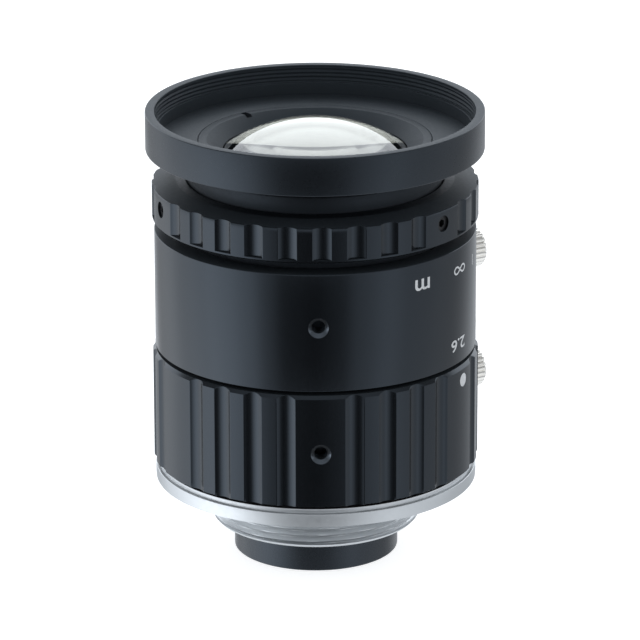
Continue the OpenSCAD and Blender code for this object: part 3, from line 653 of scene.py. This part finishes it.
def wrap(name, me, az, z, r, height, width=None):
    """Lays a flat mesh round the cylinder, scaled to a height and perhaps a width."""
    co = np.array([v.co[:2] for v in me.vertices])
    lo, hi = co.min(0), co.max(0)
    sy = height / (hi[1] - lo[1])
    sx = width / (hi[0] - lo[0]) if width else sy
    mid = (lo + hi) / 2
    bm = bmesh.new()
    bm.from_mesh(me)
    for v in bm.verts:
        v.co = ((v.co[0] - mid[0]) * sx, (v.co[1] - mid[1]) * sy, 0)
    w = (hi[0] - lo[0]) * sx / 2
    k = max(2, int(2 * w / 0.25))
    for i in range(1, k):
        bmesh.ops.bisect_plane(bm, geom=bm.verts[:] + bm.edges[:] + bm.faces[:],
                               plane_co=(-w + 2 * w * i / k, 0, 0), plane_no=(1, 0, 0))
    for v in bm.verts:
        a = az - math.degrees(v.co[0] / r)
        v.co = Vector(at(a, r, z - v.co[1])) * MM
    bm.normal_update()
    for f in bm.faces:
        c = f.calc_center_median()
        if f.normal.x * c.x + f.normal.y * c.y < 0:
            f.normal_flip()
    out = bpy.data.meshes.new(name)
    bm.to_mesh(out)
    bm.free()
    ob = bpy.data.objects.new(name, out)
    bpy.context.scene.collection.objects.link(ob)
    out.shade_smooth()
    paint(ob, ink_mat)
    return ob


def band_mesh(name, pts, width):
    """A flat closed band of even width along points."""
    p = np.array(pts)
    d = np.roll(p, -1, 0) - np.roll(p, 1, 0)
    nrm = np.stack([-d[:, 1], d[:, 0]], 1) / np.linalg.norm(d, axis=1)[:, None]
    a, b = p + nrm * width / 2, p - nrm * width / 2
    n = len(p)
    verts = [(*v, 0) for v in a] + [(*v, 0) for v in b]
    faces = [(i, (i + 1) % n, n + (i + 1) % n, n + i) for i in range(n)]
    me = bpy.data.meshes.new(name)
    me.from_pydata(verts, [], faces)
    return me


PROUD = 0.015
RB = BA_R + PROUD
marks = [wrapped_text("mark_m", "m", 40.7, 29.55, RB, 1.41, 2.33),
         wrapped_text("mark_1", "1", 75.2, 29.45, RB, 1.36)]
eight = [(1.3 * math.cos(t) / (1 + 0.35 * math.sin(t) ** 2), 0.95 * math.sin(t) * math.cos(t))
         for t in [2 * math.pi * i / 96 for i in range(96)]]
marks.append(wrap("mark_infinity", band_mesh("eight", eight, 0.24), 62.3, 29.55, RB, 1.07, 2.9))
for text, az in (("0.5", 90.5), ("0.3", 108.5), ("0.2", 131), ("0.15", 151), ("0.1", 178)):
    marks.append(wrapped_text("mark_" + text.replace(".", "_"), text, az, 29.45, RB, 1.36))
for text, az in (("2.6", 61.7), ("4", 87.6), ("8", 99.2), ("16", 109.7)):
    width = 3.5 if text == "2.6" else None
    marks.append(wrapped_text("stop_" + text.replace(".", "_"), text, az, 20.12, RB, 1.5, width))
for ob in marks:
    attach(ob, "barrel")
dot = [(0.95 * math.cos(2 * math.pi * i / 40), 0.95 * math.sin(2 * math.pi * i / 40), 0) for i in range(40)]
me = bpy.data.meshes.new("dot")
me.from_pydata(dot, [], [tuple(range(40))])
dot = wrap("aperture_dot", me, 63.7, 15.4, AP_R + PROUD, 1.65)
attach(dot, "aperture")

# ---------------------------------------------------------------- floor and light
fm, nt, bsdf = tree("pale_floor")
co = nt.nodes.new("ShaderNodeTexCoord").outputs["Object"]
grey = mix(nt, span(nt, noise(nt, co, 8, 3), 0, 1), (0.62, 0.62, 0.62), (0.64, 0.64, 0.64))
nt.links.new(grey, bsdf.inputs["Base Color"])
bsdf.inputs["Roughness"].default_value = 0.9
bsdf.inputs["Specular IOR Level"].default_value = 0.1
bsdf.inputs["Emission Color"].default_value = (1, 1, 1, 1)
bsdf.inputs["Emission Strength"].default_value = 0.75
me = bpy.data.meshes.new("floor")
S = 3.0
me.from_pydata([(-S, -S, 0), (S, -S, 0), (S, S, 0), (-S, S, 0)], [], [(0, 1, 2, 3)])
floor = bpy.data.objects.new("floor", me)
floor.location.z = REAR_Z * MM
bpy.context.scene.collection.objects.link(floor)
paint(floor, fm)
floor.visible_glossy = False

world = bpy.data.worlds.new("studio")
bpy.context.scene.world = world
world.use_nodes = True
nt = world.node_tree
nt.nodes.clear()
wout = nt.nodes.new("ShaderNodeOutputWorld")
bg = nt.nodes.new("ShaderNodeBackground")
white = nt.nodes.new("ShaderNodeBackground")
mixer = nt.nodes.new("ShaderNodeMixShader")
ray = nt.nodes.new("ShaderNodeLightPath")
tc = nt.nodes.new("ShaderNodeTexCoord")
sep = nt.nodes.new("ShaderNodeSeparateXYZ")
nt.links.new(tc.outputs["Generated"], sep.inputs[0])


def calc(op, *values):
    n = nt.nodes.new("ShaderNodeMath")
    n.operation = op
    for i, v in enumerate(values):
        if isinstance(v, (int, float)):
            n.inputs[i].default_value = v
        else:
            nt.links.new(v, n.inputs[i])
    return n.outputs[0]


def ramp(value, stops, top):
    """A smooth curve through (position, strength) stops, none of them above top."""
    n = nt.nodes.new("ShaderNodeValToRGB")
    n.color_ramp.interpolation = "EASE"
    e = n.color_ramp.elements
    while len(e) > 1:
        e.remove(e[-1])
    for i, (x, v) in enumerate(stops):
        k = e[0] if i == 0 else e.new(x)
        k.position = x
        k.color = (*[v / top] * 3, 1)
    nt.links.new(value, n.inputs[0])
    return calc("MULTIPLY", n.outputs[0], top)


def ease(value, lo, hi):
    """From 0 at lo to 1 at hi."""
    r = nt.nodes.new("ShaderNodeMapRange")
    r.interpolation_type = "SMOOTHSTEP"
    r.inputs["From Min"].default_value = lo
    r.inputs["From Max"].default_value = hi
    nt.links.new(value, r.inputs["Value"])
    return r.outputs[0]


def between(factor, a, b):
    m = nt.nodes.new("ShaderNodeMix")
    m.data_type = "FLOAT"
    nt.links.new(factor, m.inputs["Factor"])
    nt.links.new(a, m.inputs["A"])
    if isinstance(b, float):
        m.inputs["B"].default_value = b
    else:
        nt.links.new(b, m.inputs["B"])
    return m.outputs["Result"]


# near the horizon: strength by azimuth
LIGHTS = [(-180, 1.4), (-166, 0.85), (-153, 0.56), (-116, 1.4), (-90, 2.0), (-78, 2.4), (-65, 2.3), (-48, 1.7),
          (-34, 0.75), (-22, 0.2), (0, 0.1), (18, 0.25), (32, 0.8), (54, 1.25), (72, 0.9), (91, 0.8), (121, 0.55),
          (150, 0.7), (180, 0.65)]
azimuth = calc("ARCTAN2", sep.outputs["X"], calc("MULTIPLY", sep.outputs["Y"], -1.0))
side = ramp(calc("MULTIPLY_ADD", azimuth, 1 / (2 * math.pi), 0.5), [((a + 180) / 360, v) for a, v in LIGHTS], 3.0)

# above it: strength by elevation, behind the lens and on the viewer's side
RISE = [(-20, 1.0, 1.0), (-5, 1.1, 1.0), (0, 1.4, 1.0), (8, 1.65, 0.9), (15, 1.85, 0.6), (25, 1.95, 0.45),
        (36, 3.0, 0.5), (60, 3.2, 0.6), (90, 3.2, 0.7)]
height = calc("MULTIPLY_ADD", sep.outputs["Z"], 0.5, 0.5)
far, near = [ramp(height, [((math.sin(math.radians(row[0])) + 1) / 2, row[col]) for row in RISE], 10.0)
             for col in (1, 2)]

# the soft box overhead: its sides and its front edge end in the dark
wide = calc("ADD", calc("POWER", calc("ABSOLUTE", sep.outputs["X"]), 2.0), calc("MULTIPLY", sep.outputs["Y"], -0.92))
box = ease(wide, -0.30, -0.36)
above = ease(sep.outputs["Z"], 0.47, 0.53)
keep = calc("SUBTRACT", 1.0, calc("MULTIPLY", above, calc("SUBTRACT", 1.0, box)))
keep = calc("MULTIPLY_ADD", keep, 0.9, 0.1)

upper = between(ease(sep.outputs["Y"], -0.12, 0.08), near, calc("MULTIPLY", far, keep))
both = between(ease(sep.outputs["Z"], -0.1, 0.02), side, upper)
table = between(ease(sep.outputs["Z"], -0.5, -0.68), both, 1.2)
nt.links.new(table, bg.inputs["Strength"])
bg.inputs["Color"].default_value = (0.94, 0.99, 1.05, 1)
white.inputs["Color"].default_value = (1, 1, 1, 1)
white.inputs["Strength"].default_value = 1.0
nt.links.new(ray.outputs["Is Camera Ray"], mixer.inputs[0])
nt.links.new(bg.outputs[0], mixer.inputs[1])
nt.links.new(white.outputs[0], mixer.inputs[2])
nt.links.new(mixer.outputs[0], wout.inputs[0])
bpy.context.scene.view_settings.view_transform = "Standard"
